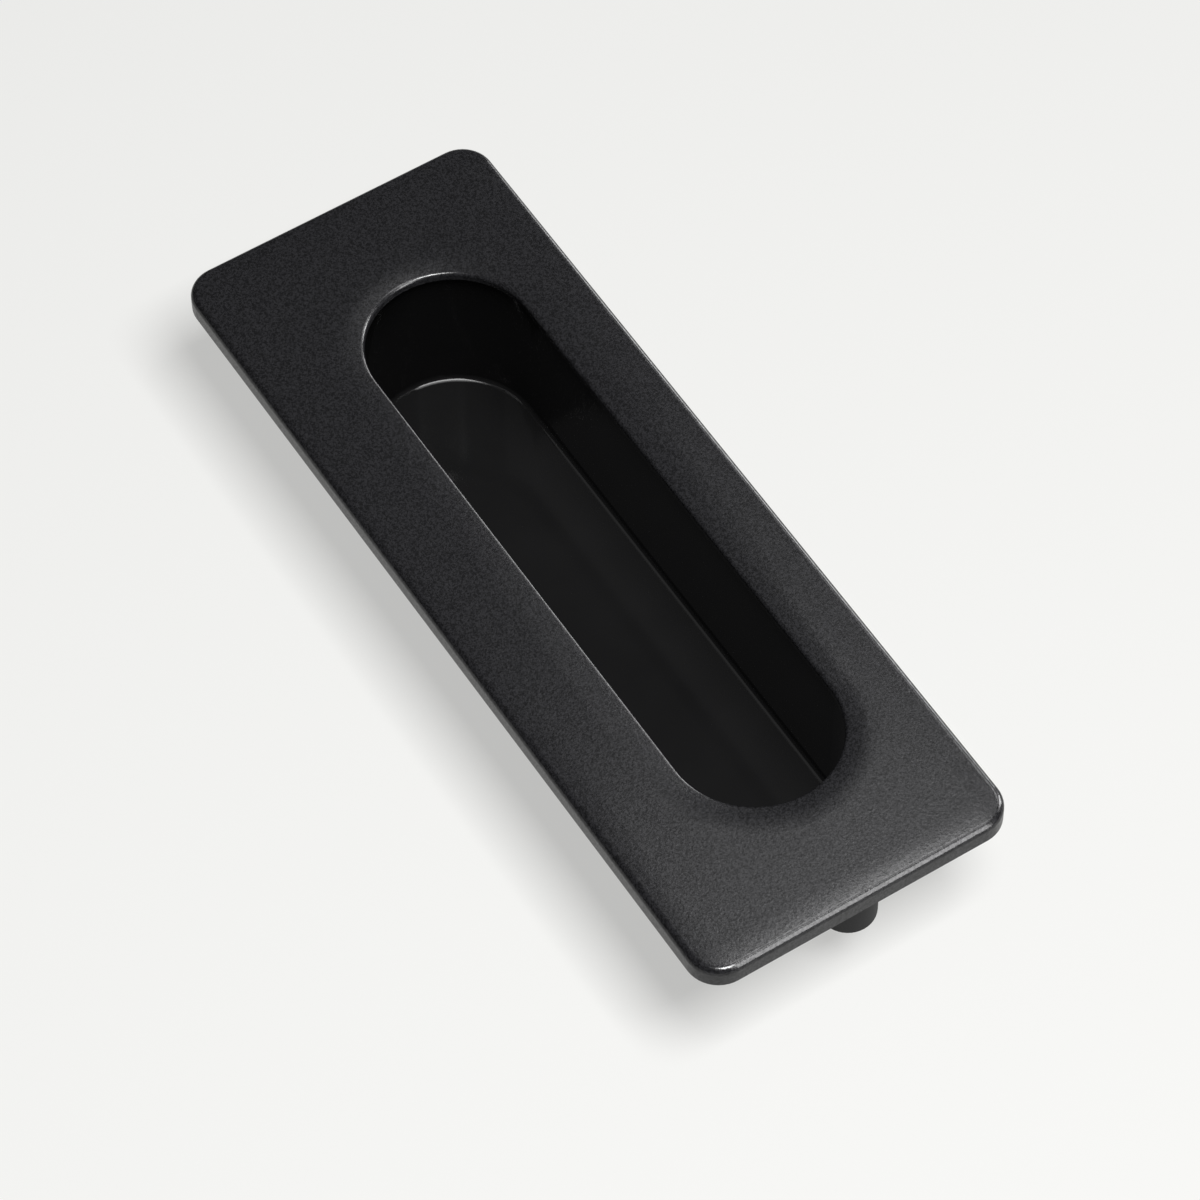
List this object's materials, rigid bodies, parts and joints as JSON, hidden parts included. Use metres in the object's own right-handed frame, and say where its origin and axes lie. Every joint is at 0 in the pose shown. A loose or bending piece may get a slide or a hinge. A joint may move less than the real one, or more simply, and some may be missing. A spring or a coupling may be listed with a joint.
{
  "type": "recessed pull handle",
  "caption": "Black rectangular face plate with a long round-ended slot off its centreline, a finger cup behind the slot and threaded fixing posts on the back.",
  "frame": {"origin": "under the middle of the face plate, level with the underside of the cup that the handle stands on", "axes": "+X along the plate, +Y across it towards the wide margin beside the slot, +Z out of the face"},
  "size_m": [0.1424, 0.051, 0.028],
  "materials": {
    "black_coating": "matte black coating with a very fine grain",
    "black_gloss": "smooth glossy black"
  },
  "bodies": {
    "root": {"face_plate": "black_coating", "cup": "black_gloss"}
  },
  "joints": []
}
